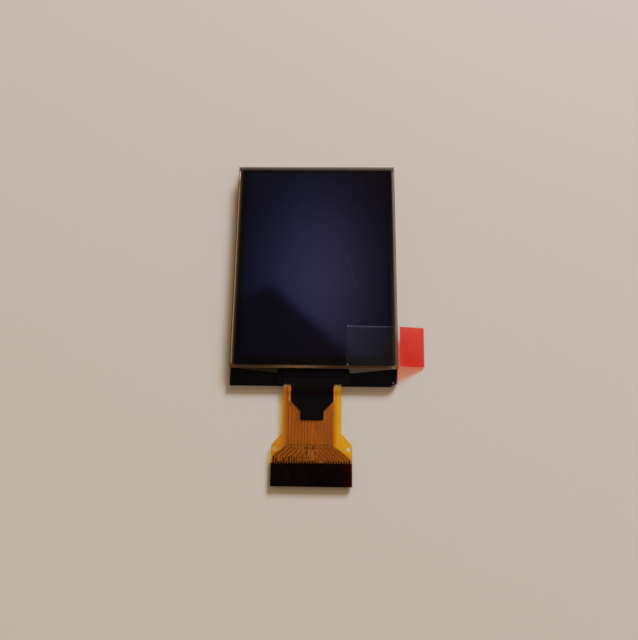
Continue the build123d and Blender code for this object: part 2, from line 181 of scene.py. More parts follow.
class Graph:
    """The nodes of one material or world, built from plain calls."""

    def __init__(self, tree: bpy.types.NodeTree) -> None:
        """Empties the tree and keeps it."""
        self.tree = tree
        tree.nodes.clear()

    def add(self, kind: str, settings: dict | None = None, values: dict | None = None) -> bpy.types.Node:
        """Adds a node.

        Args:
            kind: The node's type.
            settings: The node's own settings, which are set first.
            values: What its input sockets hold or are linked to, by name or by place.

        Returns:
            The node.
        """
        node = self.tree.nodes.new(kind)
        for name, setting in (settings or {}).items():
            setattr(node, name, setting)
        for key, value in (values or {}).items():
            socket = node.inputs[key]
            if isinstance(value, Value):
                self.tree.links.new(value.socket, socket)
            elif isinstance(value, Socket):
                self.tree.links.new(value, socket)
            elif socket.type == "RGBA" and len(value) == 3:
                socket.default_value = (*value, 1.0)
            else:
                socket.default_value = value
        return node

    def split(self, vector: Socket) -> tuple[Value, Value, Value]:
        """The x, y and z of a vector."""
        parts = self.add("ShaderNodeSeparateXYZ", values={"Vector": vector})
        return tuple(Value(self, parts.outputs[axis]) for axis in "XYZ")

    def place(self, centre: Sequence[float] = (0.0, 0.0, 0.0)) -> tuple[Value, Value, Value]:
        """The x, y and z of the point that is shaded, in millimetres from centre."""
        return self.split(self.vector(centre))

    def vector(self, centre: Sequence[float] = (0.0, 0.0, 0.0)) -> Socket:
        """The point that is shaded, on the piece's own coordinates.

        Args:
            centre: The point in millimetres that counts as zero.

        Returns:
            The point as one vector in millimetres.
        """
        source = self.add("ShaderNodeTexCoord").outputs["Object"]
        mapping = self.add(
            "ShaderNodeMapping",
            {"vector_type": "POINT"},
            {"Vector": source, "Location": tuple(-c for c in centre), "Scale": (1 / MM,) * 3},
        )
        return mapping.outputs["Vector"]

    def noise(self, size: float, detail: float = 3.0, stretch: Sequence[float] = (1.0, 1.0, 1.0),
              shift: float = 0.0) -> Value:
        """A soft random pattern.

        Args:
            size: How far apart its spots are, in millimetres.
            detail: How many finer layers it has.
            stretch: How much longer its spots are along x, y and z.
            shift: A distance in millimetres, so that two patterns of one size differ.

        Returns:
            A value round 0.5.
        """
        scaled = self.add(
            "ShaderNodeVectorMath",
            {"operation": "MULTIPLY"},
            {0: self.vector((shift, shift, shift)), 1: tuple(1 / (size * s) for s in stretch)},
        )
        made = self.add(
            "ShaderNodeTexNoise",
            {"noise_dimensions": "3D"},
            {"Vector": scaled.outputs[0], "Scale": 1.0, "Detail": detail, "Roughness": FINER_LAYERS},
        )
        return Value(self, made.outputs[0])

    def mix(self, factor: Any, first: Any, second: Any) -> Socket:
        """Mixes two colours.

        Args:
            factor: How much of the second colour shows.
            first: A colour or a colour socket.
            second: A colour or a colour socket.

        Returns:
            The mixed colour.
        """
        settings = {"data_type": "RGBA", "blend_type": "MIX", "clamp_factor": True}
        return self.add("ShaderNodeMix", settings, {0: factor, 6: first, 7: second}).outputs[2]

    def bump(self, height: Value, depth: float) -> Socket:
        """Turns a height into a normal.

        Args:
            height: The height, from 0 to 1.
            depth: What a height of 1 is, in millimetres.

        Returns:
            The normal.
        """
        values = {"Height": height, "Distance": depth * MM, "Strength": 1.0}
        return self.add("ShaderNodeBump", values=values).outputs["Normal"]

    def edge(self) -> Value:
        """A mask that is 1 on upright faces and 0 on level ones."""
        _, _, level = self.split(self.add("ShaderNodeNewGeometry").outputs["True Normal"])
        return abs(level).fall(0.35, 0.8)

    def principled(self, **values: Any) -> Socket:
        """A Principled shader.

        Args:
            values: Its sockets, with _ for a blank in a name.

        Returns:
            The shader.
        """
        named = {key.replace("_", " "): value for key, value in values.items()}
        return self.add("ShaderNodeBsdfPrincipled", values=named).outputs[0]

    def blend(self, factor: Any, first: Socket, second: Socket) -> Socket:
        """Mixes two shaders, where factor is the second one's share."""
        return self.add("ShaderNodeMixShader", values={0: factor, 1: first, 2: second}).outputs[0]

    def lets_light_in(self, surface: Socket, tint: Colour, where: Any = 1.0) -> Socket:
        """Lets lamps and soft light pass a clear piece straight, so that what lies under it is lit.

        Args:
            surface: The shader that is seen.
            tint: What one pass through the whole piece leaves of white light.
            where: A mask of the places that do so.

        Returns:
            The shader to use.
        """
        rays = self.add("ShaderNodeLightPath")
        shadow, diffuse = (Value(self, rays.outputs[f"Is {kind} Ray"]) for kind in ("Shadow", "Diffuse"))
        per_face = tuple(math.sqrt(c) for c in tint)
        clear = self.add("ShaderNodeBsdfTransparent", values={"Color": per_face}).outputs[0]
        return self.blend(shadow.most(diffuse) * where, surface, clear)

    def spot(self, place: Pair, reach: float) -> Value:
        """A soft round mask on the piece, seen from above.

        Args:
            place: Its middle, in millimetres.
            reach: How far from its middle it ends.

        Returns:
            The mask.
        """
        x, y, _ = self.place((*place, 0.0))
        return (x * x + y * y).root().fall(0.0, reach)

    def spots(self, places: Sequence[Pair], reach: float) -> Value:
        """The same mask at several places, added up."""
        first, *others = (self.spot(place, reach) for place in places)
        return sum(others, start=first)

    def close(self, shader: Socket, kind: str = "ShaderNodeOutputMaterial") -> None:
        """Links a shader to the output."""
        self.add(kind, values={"Surface": shader})


class Finish:
    """A finish that makes its material once and puts it on pieces."""

    title: str
    slot: str

    def shade(self, graph: Graph) -> Socket:
        """Builds the shader in a graph and returns it."""
        raise NotImplementedError

    def material(self) -> bpy.types.Material:
        """The finish's material, made at its first use.

        Returns:
            The material.
        """
        found = bpy.data.materials.get(self.title)
        if found is None:
            found = bpy.data.materials.new(self.title)
            found.use_nodes = True
            graph = Graph(found.node_tree)
            graph.close(self.shade(graph))
        return found

    def put_on(self, piece: bpy.types.Object) -> bpy.types.Object:
        """Gives a piece this finish alone.

        Args:
            piece: The piece, whose other materials go.

        Returns:
            The piece.
        """
        piece.data.materials.clear()
        piece.data.materials.append(self.material())
        return piece


@dataclass(frozen=True)
class ClearSheet(Finish):
    """A clear glass plate or film, whose upright edges are ground and a little milky."""

    title: str
    slot: str
    tint: Colour = (0.97, 0.985, 0.975)
    edge_tint: Colour = (0.80, 0.62, 0.36)
    refraction: float = 1.30
    gloss: float = 0.03
    edge_rough: float = 0.32
    smudge: float = 0.05
    wave_depth: float = 0.0008
    milky: float = 0.55
    over_black: bool = False
    ground_edge: Colour = (0.42, 0.27, 0.11)
    rim_end: Pair = (-14.6, -14.0)
    ledge_top: Pair = (-19.8, -19.7)

    def shade(self, graph: Graph) -> Socket:
        """Clear, with faint wipe marks on its faces and rough edges.

        Args:
            graph: The material's graph.

        Returns:
            The shader.
        """
        edge = graph.edge()
        smear = graph.noise(size=2.6, detail=4.0, stretch=(1.0, 2.2, 1.0)).rise(0.45, 0.8)
        rough = self.gloss + smear * self.smudge + edge * self.edge_rough
        colour = graph.mix(edge, self.tint, self.edge_tint)
        surface = graph.principled(
            Base_Color=colour,
            Roughness=rough,
            IOR=self.refraction,
            Transmission_Weight=1.0,
            Normal=graph.bump(graph.noise(size=1.1, detail=2.0), self.wave_depth),
        )
        if not self.over_black:
            milky = graph.principled(Base_Color=self.edge_tint, Roughness=0.6, Specular_IOR_Level=0.2)
            return graph.lets_light_in(graph.blend(edge * self.milky, surface, milky), self.tint)
        ground = graph.principled(Base_Color=self.ground_edge, Roughness=0.6, Specular_IOR_Level=0.08)
        x, y, _ = graph.place()
        rim = x.fall(*self.rim_end) * y.rise(*self.ledge_top)
        return graph.lets_light_in(graph.blend(edge, surface, ground), self.tint, rim)


@dataclass(frozen=True)
class Polariser(Finish):
    """The dark film over the cell, blacker round the lit area. Its bluish purple over the lit area is partly
    the cell's own tint and partly a painted reflection of the glow, bluer toward the left.
    """

    lit_low: Vector
    lit_high: Vector
    low: Vector
    high: Vector
    title: str = "polarising film"
    slot: str = "polarising_film"
    # The lit area's two tints are partly the cell's own and partly a painted reflection of the surround's
    # glow.
    lit: Colour = (0.024, 0.015, 0.070)
    left_painted_glow: Colour = (0.0138, 0.0185, 0.106)
    border: Colour = (0.010, 0.0060, 0.0096)
    seen_seal: Colour = (0.026, 0.016, 0.010)
    seen_left: Colour = (0.060, 0.035, 0.020)
    left_reach: float = 0.8
    seal_reach: float = 1.0
    seal_fade: Pair = (-6.0, 8.0)
    seal_least: float = 0.35
    lit_soft: float = 0.5
    grain_share: float = 0.25
    gloss: float = 0.04
    smudge: float = 0.05
    rim_light: Colour = (0.15, 0.075, 0.020)
    rim_end: Pair = (1.4, 2.0)
    scratch: Colour = (0.085, 0.085, 0.105)
    scratch_width: float = 0.09
    arc_centre: Pair = (-17.13, -7.40)
    arc_radius: float = 25.82
    arc_rows: Pair = (-5.6, 4.0)
    arc_start: Pair = (2.0, 3.0)
    arc_share: float = 0.6
    line_place: float = 0.13
    line_rows: Pair = (14.3, 17.6)
    tick_slope: float = 0.95
    tick_place: float = 27.24
    tick_span: Pair = (12.5, 14.3)
    faint_share: float = 0.3
    speck_reach: float = 0.12
    specks: tuple[Pair, ...] = ((-4.36, -9.98), (-4.51, -16.09), (7.44, -10.94), (3.1, 12.4), (-9.2, 5.3))

    def shade(self, graph: Graph) -> Socket:
        """A dark mirror whose tint follows what lies under it, with a painted reflection over the lit area.

        Args:
            graph: The material's graph.

        Returns:
            The shader.
        """
        x, y, _ = graph.place()
        low, high = self.lit_low / MM, self.lit_high / MM
        start, end = self.low.x / MM, self.high.x / MM
        lit = x.between(low.x, high.x, self.lit_soft) * y.between(low.y, high.y, self.lit_soft)
        # Painted reflection: the lit area's tint goes bluer toward the left.
        colour = graph.mix(x.rise(low.x, high.x), self.left_painted_glow, self.lit)
        colour = graph.mix(lit, self.border, colour)
        fine = graph.noise(size=0.09, detail=2.0).rise(0.3, 0.75)
        colour = graph.mix(fine * self.grain_share, colour, BLACK)
        right = x.rise(end - self.seal_reach, end) * y.rise(*self.seal_fade, 1.0, self.seal_least)
        left = x.fall(start, start + self.left_reach)
        colour = graph.mix(right, colour, self.seen_seal)
        colour = graph.mix(left, colour, self.seen_left)
        rough = self.gloss + graph.noise(size=3.4, detail=4.0).rise(0.5, 0.85) * self.smudge
        marks = self._scratches(graph)
        colour = graph.mix(marks, colour, self.scratch)
        surface = graph.principled(
            Base_Color=colour,
            Metallic=1.0 - right.most(left).most(marks),
            Roughness=rough,
            Specular_IOR_Level=0.1,
        )
        rim = x.fall(*(start + inset for inset in self.rim_end))
        return graph.lets_light_in(surface, self.rim_light, rim)

    def _scratches(self, graph: Graph) -> Value:
        """Faint marks on the film: one long arc, one short line, a tick and a few specks, all uneven.

        Args:
            graph: The material's graph.

        Returns:
            A mask of the marks.
        """
        x, y, _ = graph.place()
        off_x, off_y, _ = graph.place((*self.arc_centre, 0.0))
        arc = (off_x * off_x + off_y * off_y).root().near(self.arc_radius, self.scratch_width)
        arc = arc * y.between(*self.arc_rows, 1.4) * x.rise(*self.arc_start)
        line = x.near(self.line_place, self.scratch_width) * y.between(*self.line_rows, 1.0)
        tick = (x + y * self.tick_slope).near(self.tick_place, self.scratch_width)
        tick = tick * x.between(*self.tick_span, 0.6)
        patchy = graph.noise(size=0.9).rise(0.35, 0.7, 0.25, 1.0)
        specks = graph.spots(self.specks, self.speck_reach)
        return (arc * self.arc_share + (line + tick) * self.faint_share + specks) * patchy


@dataclass(frozen=True)
class TabTape(Finish):
    """The clear tape of the pull tab, with a faint haze, milky rims that also carry a painted highlight, and
    painted glints.
    """

    low: Vector
    high: Vector
    title: str = "clear tab tape"
    slot: str = "clear_tape"
    tint: Colour = (0.97, 0.97, 0.98)
    haze: Colour = (0.42, 0.38, 0.48)
    refraction: float = 1.25
    rim: float = 0.10
    top_rim: Pair = (0.48, 0.10)
    rim_fade_span: Pair = (0.6, 1.8)
    left_share: float = 0.5
    bottom_share: float = 0.6
    # Glints painted as spots of haze near the tape's left corners.
    glint_places: tuple[Pair, ...] = ((6.78, -11.32), (7.50, -11.26), (6.70, -19.06))
    glint_reach: float = 0.22
    least_haze: float = 0.001
    rim_haze_and_highlight: float = 0.15
    glint_share: float = 0.4
    dust: float = 0.006
    gloss: float = 0.05
    rim_rough: float = 0.3
    wave_depth: float = 0.0015

    def shade(self, graph: Graph) -> Socket:
        """Clear with a thin haze, denser along the rims, partly the tape's milky edge and partly a painted
        highlight, and at painted glints.

        Args:
            graph: The material's graph.

        Returns:
            The shader.
        """
        x, y, _ = graph.place()
        low, high = self.low / MM, self.high / MM
        # The rims' haze is partly the tape's own milky edge and partly a painted highlight, uneven and fading
        # toward the top left corner.
        uneven = graph.noise(size=1.9, detail=4.0).rise(0.36, 0.62, 0.12, 0.5)
        uneven = uneven * x.rise(*(low.x + inset for inset in self.rim_fade_span), 0.4, 1.0)
        top = y.rise(*(high.y - inset for inset in self.top_rim)) * uneven
        left = x.fall(low.x, low.x + self.rim) * self.left_share
        bottom = y.fall(low.y, low.y + self.rim) * self.bottom_share
        rims = top.most(left).most(bottom)
        clear = graph.principled(
            Base_Color=self.tint,
            Roughness=self.gloss + rims * self.rim_rough,
            IOR=self.refraction,
            Transmission_Weight=1.0,
            Normal=graph.bump(graph.noise(size=0.8, detail=2.0), self.wave_depth),
        )
        milky = graph.principled(Base_Color=self.haze, Roughness=0.4)
        share = self.least_haze + rims * self.rim_haze_and_highlight
        # Painted glints.
        share = share + graph.spots(self.glint_places, self.glint_reach) * self.glint_share
        share = share + graph.noise(size=0.16, detail=2.0).rise(0.62, 0.8) * self.dust
        return graph.lets_light_in(graph.blend(share, clear, milky), self.tint)


@dataclass(frozen=True)
class RedFilm(Finish):
    """The red grip, a see-through film with a fine grain, paler toward its far right corner as painted light.
    """

    title: str = "red grip film"
    slot: str = "red_film"
    tint: Colour = (0.93, 0.16, 0.11)
    body: Colour = (0.54, 0.025, 0.015)
    body_painted_light: Colour = (0.64, 0.105, 0.062)
    painted_light_span: Pair = (1.0, 10.0)
    painted_light_share: float = 0.6
    grain_share: float = 0.2
    share: float = 0.45
    grain_depth: float = 0.002

    def shade(self, graph: Graph) -> Socket:
        """Part see-through, part body colour, with painted light toward the upper right.

        Args:
            graph: The material's graph.

        Returns:
            The shader.
        """
        grain = graph.noise(size=0.12).rise(0.3, 0.7)
        cloud = graph.noise(size=2.2, detail=2.0).rise(0.35, 0.7)
        clear = graph.principled(
            Base_Color=self.tint,
            Roughness=0.12,
            IOR=1.3,
            Transmission_Weight=1.0,
            Normal=graph.bump(grain, self.grain_depth),
        )
        x, y, _ = graph.place()
        # The grain is the film's own; the paling toward the upper right is painted light.
        pale = (cloud + grain) * self.grain_share + (x + y).rise(*self.painted_light_span) * self.painted_light_share
        colour = graph.mix(pale, self.body, self.body_painted_light)
        body = graph.principled(Base_Color=colour, Roughness=0.35, Specular_IOR_Level=0.25)
        return graph.lets_light_in(graph.blend(self.share, clear, body), self.tint)


@dataclass(frozen=True)
class Seal(Finish):
    """The fused seal between the glasses: golden brown, with painted light and shade that make it darkest at
    the top and brightest on the left.
    """

    low: Vector
    high: Vector
    band: float = 0.8
    band_soft: float = 0.1
    left_end: Pair = (3.0, 4.0)
    outer_edge: Pair = (0.45, 0.1)
    highlight_reach: float = 7.0
    highlight_place: float = -3.0
    grain_share: float = 0.25
    title: str = "fused glass seal"
    slot: str = "glass_frit"
    # Painted light and shade: outer is lighter along the right edge, left brightest, top darkest, dim along
    # the bottom with a gold highlight in its middle. dim is also the grain's colour; gold also tints the
    # light let through.
    colour: Colour = (0.06, 0.040, 0.025)
    outer: Colour = (0.24, 0.160, 0.080)
    left: Colour = (0.97, 0.76, 0.44)
    top: Colour = (0.045, 0.028, 0.015)
    dim: Colour = (0.22, 0.125, 0.058)
    gold: Colour = (0.82, 0.60, 0.38)

    def shade(self, graph: Graph) -> Socket:
        """Grainy brown, whose tone changes from side to side as painted light and shade.

        Args:
            graph: The material's graph.

        Returns:
            The shader.
        """
        x, y, _ = graph.place()
        low, high = self.low / MM, self.high / MM
        # Painted light and shade by side, with a painted highlight in the bottom's middle.
        at_left = x.fall(*(low.x + inset for inset in self.left_end))
        top, bottom, soft = high.y - self.band, low.y + self.band, self.band_soft
        at_top = y.rise(top - soft, top + soft)
        at_bottom = y.fall(bottom - soft, bottom + soft)
        colour = graph.mix(x.rise(*(high.x - inset for inset in self.outer_edge)), self.colour, self.outer)
        colour = graph.mix(at_left, colour, self.left)
        colour = graph.mix(at_bottom, colour, self.dim)
        middle = x.near(self.highlight_place, self.highlight_reach) * graph.noise(size=1.3).rise(0.3, 0.6, 0.5, 1.0)
        colour = graph.mix(at_bottom * middle, colour, self.gold)
        colour = graph.mix(at_top, colour, self.top)
        grain = graph.noise(size=0.10).rise(0.4, 0.75)
        colour = graph.mix(grain * self.grain_share, colour, self.dim)
        surface = graph.principled(Base_Color=colour, Roughness=0.4, Specular_IOR_Level=0.3)
        return graph.lets_light_in(surface, self.gold)


@dataclass(frozen=True)
class CellLayers(Finish):
    """The thin coloured layers of the cell, with fine lines at a fixed pitch."""

    title: str
    slot: str
    colour: Colour
    line: Colour
    pitch: float
    line_share: float = 0.7

    def shade(self, graph: Graph) -> Socket:
        """A dark field ruled both ways.

        Args:
            graph: The material's graph.

        Returns:
            The shader.
        """
        x, y, _ = graph.place()
        across, down = ((way * (2 * math.pi / self.pitch)).wave().rise(0.55, 0.95) for way in (x, y))
        colour = graph.mix(across.most(down) * self.line_share, self.colour, self.line)
        return graph.principled(Base_Color=colour, Metallic=0.7, Roughness=0.2)


@dataclass(frozen=True)
class Metal(Finish):
    """A thin metal layer with streaks along one direction."""

    title: str
    slot: str
    colour: Colour
    worn: Colour
    rough: float
    stretch: tuple[float, float, float] = (1.0, 8.0, 1.0)
    grain: float = 0.12
    metallic: float = 1.0
    bump: float = 0.0012
    rows: tuple[tuple[float, float, float], ...] = ()
    row_reach: float = 0.28
    row_share: float = 1.0
    mark_colour: Colour = (0.004, 0.002, 0.001)
    # Painted shade toward the left and in the fan.
    painted_shade_left: float = 0.0
    painted_shade_span: Pair = (-3.0, 6.0)
    fan_shade_share: float = 0.0
    fan_rows: Pair = (-34.6, -33.4)
    fan_shade_colour: Colour = (0.03, 0.008, 0.004)
    streak_share: float = 0.45
    patch_share: float = 0.4
    patch_rough: float = 0.12

    def marked(self, graph: Graph, colour: Socket) -> Socket:
        """Leaves the colour as it is; a finish with marks of its own adds them here."""
        return colour

    def shade(self, graph: Graph) -> Socket:
        """Streaked metal, duller where it is worn and darker along its crossing rows, with painted shade in
        the fan and toward the left.

        Args:
            graph: The material's graph.

        Returns:
            The shader.
        """
        streak = graph.noise(size=self.grain, detail=4.0, stretch=self.stretch).rise(0.35, 0.7)
        patch = graph.noise(size=1.7).rise(0.4, 0.75)
        colour = graph.mix(streak * self.streak_share + patch * self.patch_share, self.colour, self.worn)
        x, y, _ = graph.place()
        for row, start, end in self.rows:
            share = y.near(row, self.row_reach) * x.between(start, end, 0.2) * self.row_share
            colour = graph.mix(share, colour, self.mark_colour)
        colour = self.marked(graph, colour)
        # Painted shade: darker in the fan and toward the left.
        colour = graph.mix(y.rise(*self.fan_rows, self.fan_shade_share, 0.0), colour, self.fan_shade_colour)
        colour = graph.mix(x.rise(*self.painted_shade_span, self.painted_shade_left, 0.0), colour, BLACK)
        return graph.principled(
            Base_Color=colour,
            Metallic=self.metallic,
            Roughness=self.rough + patch * self.patch_rough,
            Normal=graph.bump(streak, self.bump),
        )


@dataclass(frozen=True)
class FanCopper(Metal):
    """The front copper, with plated holes, and painted shade on every other conductor where they fan out."""

    slope: float = 0.81
    pitch: float = 0.5
    # Colour of the painted shade on every other conductor in the fan, which stands for the dark gaps between
    # them.
    shaded_lanes: Colour = (0.24, 0.060, 0.022)
    left_low: float = -36.35
    left_first_shaded: float = -6.95
    left_share: float = 0.75
    left_slant: float = 0.42
    left_top: Pair = (-36.508, -36.208)
    left_end: Pair = (-2.0, -0.8)
    right_low: float = -37.15
    right_first_shaded: float = 0.05
    right_share: float = 0.64
    right_slant: float = -0.06
    right_top: Pair = (-36.2, -34.9)
    right_start: Pair = (0.0, 1.2)
    holes: tuple[tuple[float, float, float], ...] = ()

    def _every_other(self, lane: Value, shaded_lanes: float) -> Value:
        """A mask of every other lane, counted from the one at dull."""
        return ((lane - shaded_lanes + self.pitch / 2) * (math.pi / self.pitch)).wave().rise(-0.35, 0.45)

    def marked(self, graph: Graph, colour: Socket) -> Socket:
        """Adds the painted shade on every other conductor, and the holes.

        Args:
            graph: The material's graph.
            colour: The copper's own colour.

        Returns:
            The marked colour.
        """
        x, y, _ = graph.place()
        # Painted shade on every other conductor where they fan out, for the dark gaps between them.
        shaded_lanes = self._every_other(x - (y - self.left_low).most(0.0) / self.slope, self.left_first_shaded)
        fan = (x * self.left_slant + y).fall(*self.left_top) * x.fall(*self.left_end)
        colour = graph.mix(shaded_lanes * fan * self.left_share, colour, self.shaded_lanes)
        shaded_lanes = self._every_other(x + (y - self.right_low).most(0.0) / self.slope, self.right_first_shaded)
        fan = (x * self.right_slant + y).fall(*self.right_top) * x.rise(*self.right_start)
        colour = graph.mix(shaded_lanes * fan * self.right_share, colour, self.shaded_lanes)
        for x_hole, y_hole, reach in self.holes:
            colour = graph.mix(graph.spot((x_hole, y_hole), reach), colour, self.mark_colour)
        return colour


@dataclass(frozen=True)
class Matt(Finish):
    """A plain dark part with a fine tooth, such as black film, ink, silicon or bonding film."""

    title: str
    slot: str
    colour: Colour
    pale: Colour
    rough: float = 0.5
    shine: float = 0.3
    grain: float = 0.08
    depth: float = 0.002
    cloud_share: float = 0.6
    tooth_share: float = 0.2
    cloud_rough: float = 0.1

    def shade(self, graph: Graph) -> Socket:
        """A toothed surface with faint clouds.

        Args:
            graph: The material's graph.

        Returns:
            The shader.
        """
        tooth = graph.noise(size=self.grain)
        cloud = graph.noise(size=2.2).rise(0.35, 0.75)
        share = cloud * self.cloud_share + tooth * self.tooth_share
        return graph.principled(
            Base_Color=graph.mix(share, self.colour, self.pale),
            Roughness=self.rough + cloud * self.cloud_rough,
            Specular_IOR_Level=self.shine,
            Normal=graph.bump(tooth, self.depth),
        )


@dataclass(frozen=True)
class BlackTape(Finish):
    """The black tape over the chip: matt on the ledge, glossier where it bends down to the flex, with a
    painted reddish reflection there.
    """

    bend: Pair = (-25.3, -23.2)
    crease: float = -25.35
    crease_width: float = 0.22
    title: str = "black polyester tape"
    slot: str = "black_tape"
    colour: Colour = (0.0034, 0.0028, 0.0032)
    # Painted reddish reflection on the bend.
    bend_sheen: Colour = (0.0048, 0.0026, 0.0026)
    rough: float = 0.75
    bent_rough: float = 0.30
    tooth_height: float = 0.10
    pucker_height: float = 0.6
    crease_height: float = 0.5
    depth: float = 0.03

    def shade(self, graph: Graph) -> Socket:
        """Fine tooth, slight puckers and one crease across the bend, whose reddish tone is a painted
        reflection.

        Args:
            graph: The material's graph.

        Returns:
            The shader.
        """
        _, y, _ = graph.place()
        bend = y.between(*self.bend, 0.5)
        tooth = graph.noise(size=0.06, detail=2.0)
        pucker = graph.noise(size=1.3, stretch=(2.5, 0.6, 1.0))
        crease = y.near(self.crease, self.crease_width) * graph.noise(size=3.0, detail=2.0).rise(0.35, 0.6)
        height = tooth * self.tooth_height + pucker * bend * self.pucker_height + crease * self.crease_height
        return graph.principled(
            # The bend's colour is a painted reflection.
            Base_Color=graph.mix(bend, self.colour, self.bend_sheen),
            Roughness=self.rough - bend * (self.rough - self.bent_rough),
            Specular_IOR_Level=0.02,
            Normal=graph.bump(height, self.depth),
        )


@dataclass(frozen=True)
class AmberFilm(Finish):
    """Amber polyimide film, which may be cloudy, and is redder over the conductors and where it is bare; its
    cloudy body is darker on the left half as painted shade.
    """

    title: str
    slot: str
    tint: Colour
    deep: Colour
    lets_in: Colour
    cloudy: float = 0.0
    bare_end: float = -100.0
    bare_soft: float = 0.02
    bare: Colour = (0.50, 0.12, 0.07)
    body: Colour = (0.80, 0.50, 0.035)
    # Painted shade on the left half.
    left_shaded_body: Colour = (0.65, 0.25, 0.10)
    field_body: Colour = (0.66, 0.20, 0.045)
    field_tint: Colour = (0.92, 0.42, 0.16)
    reddened: float = 0.0
    field_left: Pair = (-6.0, -4.5)
    field_right: Pair = (3.8, 4.8)
    fan: Pair = (2.4, 3.2)
    fan_rows: Pair = (-37.2, -34.4)
    uneven: float = 0.6
    rough: float = 0.10
    grain: float = 0.0006
    refraction: float = 1.33
    cloud_rough: float = 0.05
    halves: Pair = (-1.0, 1.0)
    body_rough: float = 0.5
    body_shine: float = 0.2

    def film(self, graph: Graph) -> Socket:
        """See-through amber, slightly uneven, with a faint web pattern.

        Args:
            graph: The material's graph.

        Returns:
            The shader.
        """
        x, y, _ = graph.place()
        covered = y.rise(self.bare_end - self.bare_soft, self.bare_end + self.bare_soft)
        cloud = graph.noise(size=1.6).rise(0.35, 0.7)
        web = graph.noise(size=0.10, stretch=(1.0, 3.0, 1.0))
        spread = y.fall(*self.fan_rows)
        left = (x + spread * self.fan[0]).rise(*self.field_left)
        right = (x - spread * self.fan[1]).rise(*self.field_right)
        inside = left * (1 - right)
        amber = graph.mix(cloud * self.uneven, self.tint, self.deep)
        amber = graph.mix(inside * self.reddened, amber, self.field_tint)
        clear = graph.principled(
            Base_Color=graph.mix(covered, self.bare, amber),
            Roughness=self.rough + cloud * self.cloud_rough,
            IOR=self.refraction,
            Transmission_Weight=1.0,
            Normal=graph.bump(web, self.grain),
        )
        if self.cloudy == 0.0:
            return clear
        # Painted shade: the cloudy body is darker on the left half.
        colour = graph.mix(x.rise(*self.halves), self.left_shaded_body, self.body)
        colour = graph.mix(inside, colour, self.field_body)
        body = graph.principled(
            Base_Color=colour, Roughness=self.body_rough, Specular_IOR_Level=self.body_shine
        )
        return graph.blend(covered * inside.rise(0.0, 1.0, 1.0, 0.5) * self.cloudy, clear, body)

    def shade(self, graph: Graph) -> Socket:
        """The film, which lets light through to the copper and the floor."""
        return graph.lets_light_in(self.film(graph), self.lets_in)


@dataclass(frozen=True)
class RimHighlightFilm(AmberFilm):
    """The upper cover film, with a painted highlight along both sides of the tape's neck."""

    rim_middle: float = -0.20
    rim_half: float = 4.36
    rim_width: float = 0.26
    rim_rows: Pair = (-26.1, -23.5)
    rim_soft: float = 0.7
    rim_highlight_share: float = 0.55
    rim_highlight_colour: Colour = (0.78, 0.30, 0.06)

    def film(self, graph: Graph) -> Socket:
        """The amber film with a painted highlight line on each side of the tape.

        Args:
            graph: The material's graph.

        Returns:
            The shader.
        """
        x, y, _ = graph.place()
        # Painted highlight along each side of the tape's neck.
        rim = abs(x - self.rim_middle).near(self.rim_half, self.rim_width)
        rim = rim * y.between(*self.rim_rows, self.rim_soft) * self.rim_highlight_share
        lit = graph.principled(Base_Color=self.rim_highlight_colour, Roughness=0.35)
        return graph.blend(rim, super().film(graph), lit)


@dataclass(frozen=True)
class Stiffener(AmberFilm):
    """The stiffener film: amber under the cover film, nearly black beyond it and dark red at one side."""

    red_span: Pair = (4.8, 7.0)
    dark: Colour = (0.014, 0.006, 0.005)
    red: Colour = (0.22, 0.022, 0.016)

    def film(self, graph: Graph) -> Socket:
        """The amber film down to the cover film's end, then the dark coat.

        Args:
            graph: The material's graph.

        Returns:
            The shader.
        """
        x, y, _ = graph.place()
        bare = y.fall(self.bare_end - self.bare_soft, self.bare_end + self.bare_soft)
        colour = graph.mix(x.rise(*self.red_span), self.dark, self.red)
        coat = graph.principled(Base_Color=colour, Roughness=0.4, Specular_IOR_Level=0.2)
        return graph.blend(bare, super().film(graph), coat)


@dataclass(frozen=True)
class Sealant(Finish):
    """Clear cured sealant with milky and dark specks in it."""

    title: str = "clear sealant"
    slot: str = "clear_sealant"
    tint: Colour = (0.95, 0.88, 0.74)
    milky: Colour = (0.46, 0.38, 0.28)
    dark: Colour = (0.02, 0.014, 0.010)
    speck_share: float = 0.8

    def shade(self, graph: Graph) -> Socket:
        """Glassy, with specks of both kinds.

        Args:
            graph: The material's graph.

        Returns:
            The shader.
        """
        pale = graph.noise(size=0.34, detail=2.0).rise(0.56, 0.66)
        black = graph.noise(size=0.30, detail=2.0, shift=5.0).rise(0.50, 0.58)
        clear = graph.principled(Base_Color=self.tint, Roughness=0.08, IOR=1.40, Transmission_Weight=1.0)
        specks = graph.principled(Base_Color=graph.mix(black, self.milky, self.dark), Roughness=0.3)
        return graph.lets_light_in(graph.blend(pale.most(black) * self.speck_share, clear, specks), self.tint)


@dataclass(frozen=True)
class Floor(Finish):
    """A plain pale surface."""

    title: str = "pale floor"
    colour: Colour = (0.575, 0.510, 0.460)

    def shade(self, graph: Graph) -> Socket:
        """Plain, without shine."""
        return graph.principled(Base_Color=self.colour, Roughness=0.85, Specular_IOR_Level=0.1)


class Corner(Enum):
    """How a copied piece's sharp edges are finished."""

    SHARP = 0
    ARRIS = 1


